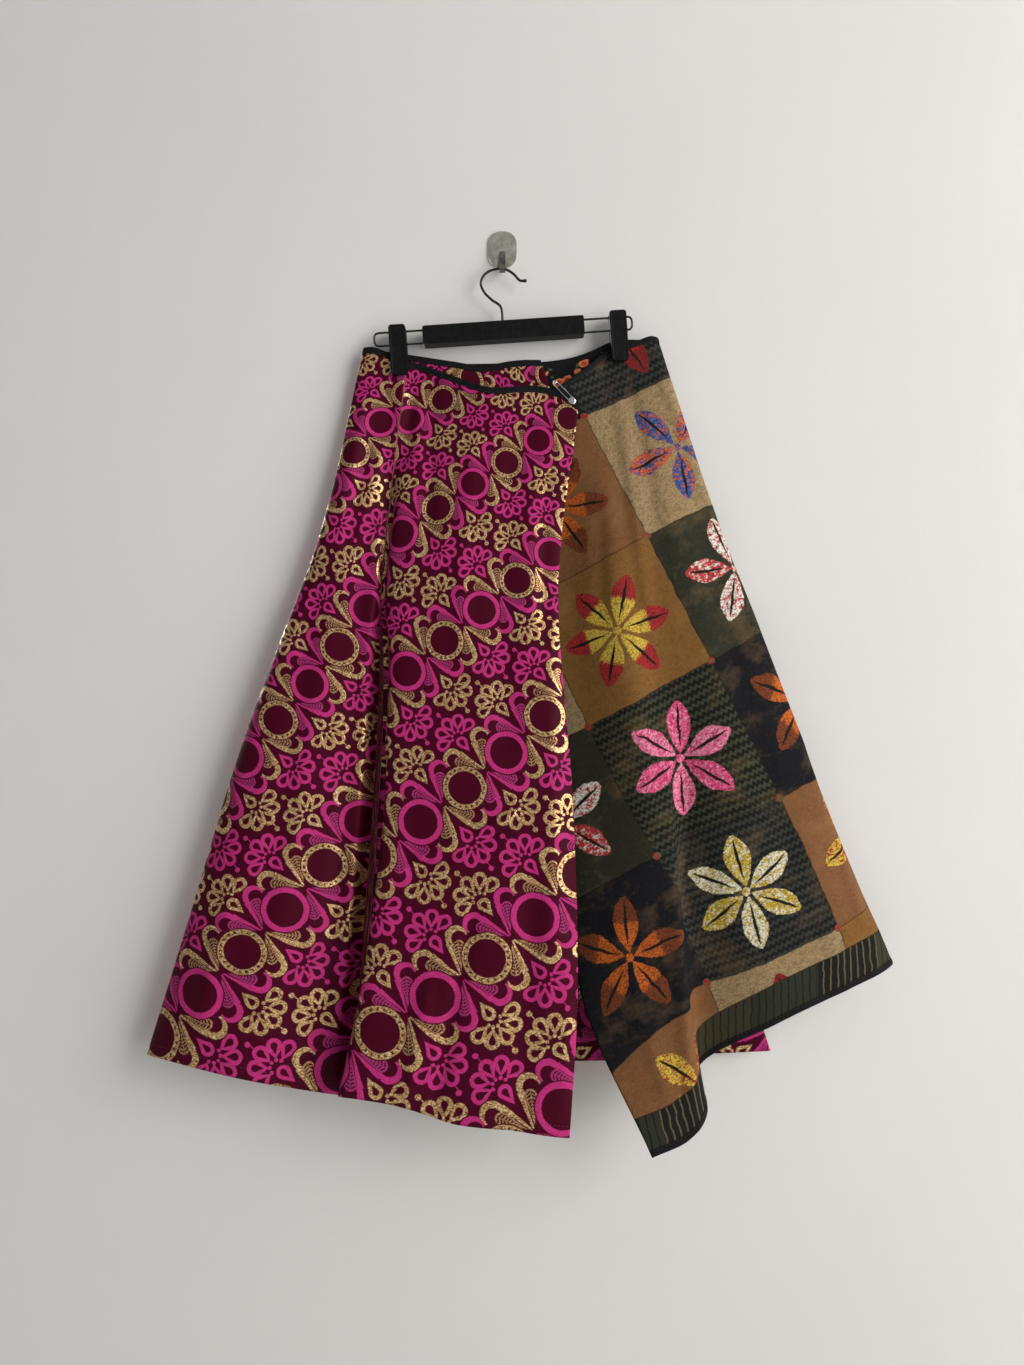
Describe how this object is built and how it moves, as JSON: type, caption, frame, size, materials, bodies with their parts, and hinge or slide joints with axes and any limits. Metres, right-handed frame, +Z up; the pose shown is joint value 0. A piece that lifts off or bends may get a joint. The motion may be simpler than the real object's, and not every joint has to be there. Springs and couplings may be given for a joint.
{
  "type": "apron skirt on a clip hanger",
  "caption": "Reversible wrap skirt of two interleaved flared aprons, pinned at the waist and hung by a clip hanger from a small wall hook.",
  "frame": {"origin": "centre of the hook plate's back face, on the wall", "axes": "+Z up, +X to the right of someone who faces the wall, +Y into the wall; the skirt hangs at -Y and -Z"},
  "size_m": [0.8679, 0.1143, 1.06],
  "materials": {
    "brocade": "woven brocade, plum ground with magenta and gold rings, leaves and daisies, slight sheen",
    "patchwork_print": "matte printed cloth of dark and tan squares with bright leaf rosettes",
    "floral_lining": "black cotton with small orange and red roses",
    "binding_tape": "black woven tape, faint satin",
    "black_plastic": "fine matte moulding",
    "black_wire": "black coated steel wire, semi-gloss",
    "brushed_steel": "brushed, soft",
    "dark_steel": "darker bent strip",
    "pin_steel": "bright nickel plating"
  },
  "bodies": {
    "root": {"wall_plate": "brushed_steel", "wall_hook_strip": "dark_steel", "hanger_hook": "black_wire", "hanger_bar": "black_plastic", "rod_loop_left": "black_wire", "rod_loop_right": "black_wire", "clip_left_front": "black_plastic", "clip_left_back": "black_plastic", "clip_right_front": "black_plastic", "clip_right_back": "black_plastic", "brocade_front": "brocade", "brocade_back": "brocade", "brocade_front_binding": "binding_tape", "brocade_back_binding": "binding_tape", "patchwork_front": "patchwork_print", "patchwork_back": "patchwork_print", "patchwork_back_lining": "floral_lining", "patchwork_front_waist_binding": "binding_tape", "patchwork_back_waist_binding": "binding_tape", "patchwork_front_hem_binding": "binding_tape", "patchwork_back_hem_binding": "binding_tape", "closure_pin": "pin_steel"}
  },
  "joints": []
}
